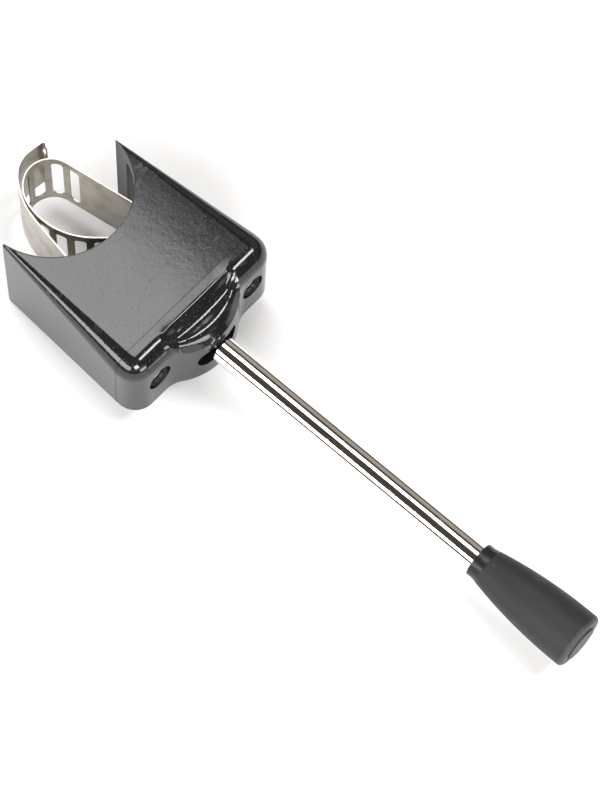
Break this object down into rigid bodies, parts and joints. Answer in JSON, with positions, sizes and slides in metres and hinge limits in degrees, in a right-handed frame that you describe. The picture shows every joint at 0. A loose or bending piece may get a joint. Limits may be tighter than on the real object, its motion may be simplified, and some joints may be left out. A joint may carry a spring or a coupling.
{
  "type": "turn signal switch",
  "caption": "Clamp-on steering column turn signal switch: enamelled sleeve with a column saddle, two steel straps, end cover and a swinging chrome lever with a knob.",
  "frame": {"origin": "where the steering column's axis crosses the lever's axis", "axes": "+X along the lever towards its knob, +Z along the column's axis out of the flat front face, +Y across the front face"},
  "size_m": [0.2518, 0.0696, 0.0412],
  "materials": {
    "black_enamel": "gloss black baked enamel on a zinc die casting",
    "chrome": "bright chrome plate",
    "knob_plastic": "finely grained matte black moulding",
    "strap_steel": "nickel-plated spring steel, rolled",
    "nickel_screw": "nickel plate",
    "zinc_steel": "zinc plate",
    "zinc_alloy": "bare zinc die casting",
    "spring_steel": "blued spring steel",
    "brass": "bare brass",
    "tinned_brass": "tinned brass",
    "slider_plastic": "natural acetal moulding",
    "laminate": "paper phenolic laminate",
    "rubber": "matte black rubber"
  },
  "bodies": {
    "casing": {"housing": "black_enamel", "end_cover": "black_enamel", "switch_frame": "zinc_steel", "pivot_pin": "zinc_steel", "pivot_clip": "spring_steel", "frame_screws": "zinc_steel", "detent_leaf": "spring_steel", "detent_rivet": "brass", "terminal_board": "laminate", "board_spacers": "brass", "board_screws": "zinc_steel", "fixed_contacts": "brass", "solder_tags": "tinned_brass", "wire_grommet": "rubber"},
    "lever": {"lever_rod": "chrome", "knob": "knob_plastic", "knob_insert": "brass", "knob_end_cap": "knob_plastic", "hub_cross_pin": "zinc_steel", "lever_hub": "zinc_alloy"},
    "slider": {"contact_slider": "slider_plastic", "bridge_contact": "brass", "contact_spring": "spring_steel"},
    "right_screw": {"right_clamp_screw": "nickel_screw"},
    "left_screw": {"left_clamp_screw": "nickel_screw"},
    "right_strap": {"ladder_strap": "strap_steel", "right_nut": "zinc_steel"},
    "left_strap": {"hook_strap": "strap_steel", "left_nut": "zinc_steel"}
  },
  "joints": [
    {"name": "lever_swing", "type": "hinge", "parent": "casing", "child": "lever", "pos_m": [0.0505, 0, 0], "axis": [0, 0, 1], "range_deg": [-12, 12], "deforming": ["detent_leaf"]},
    {"name": "contact_slide", "type": "slide", "parent": "casing", "child": "slider", "axis": [0, 1, 0], "range_m": [-0.002, 0.002]},
    {"name": "right_screw_turn", "type": "hinge", "parent": "casing", "child": "right_screw", "pos_m": [0.0645, 0.023, 0.0028], "axis": [-1, 0, 0], "range_deg": [0, 2880]},
    {"name": "right_strap_slide", "type": "slide", "parent": "casing", "child": "right_strap", "axis": [1, 0, 0], "range_m": [0, 0.0064]},
    {"name": "left_screw_turn", "type": "hinge", "parent": "casing", "child": "left_screw", "pos_m": [0.0645, -0.023, 0.0028], "axis": [-1, 0, 0], "range_deg": [-2880, 0]},
    {"name": "left_strap_slide", "type": "slide", "parent": "casing", "child": "left_strap", "axis": [1, 0, 0], "range_m": [-0.0064, 0]}
  ],
  "couplings": [
    {"joint": "contact_slide", "follows": "lever_swing", "m_per_rad": -0.0095},
    {"joint": "right_screw_turn", "follows": "right_strap_slide", "rad_per_m": 7854},
    {"joint": "left_screw_turn", "follows": "left_strap_slide", "rad_per_m": 7854}
  ]
}
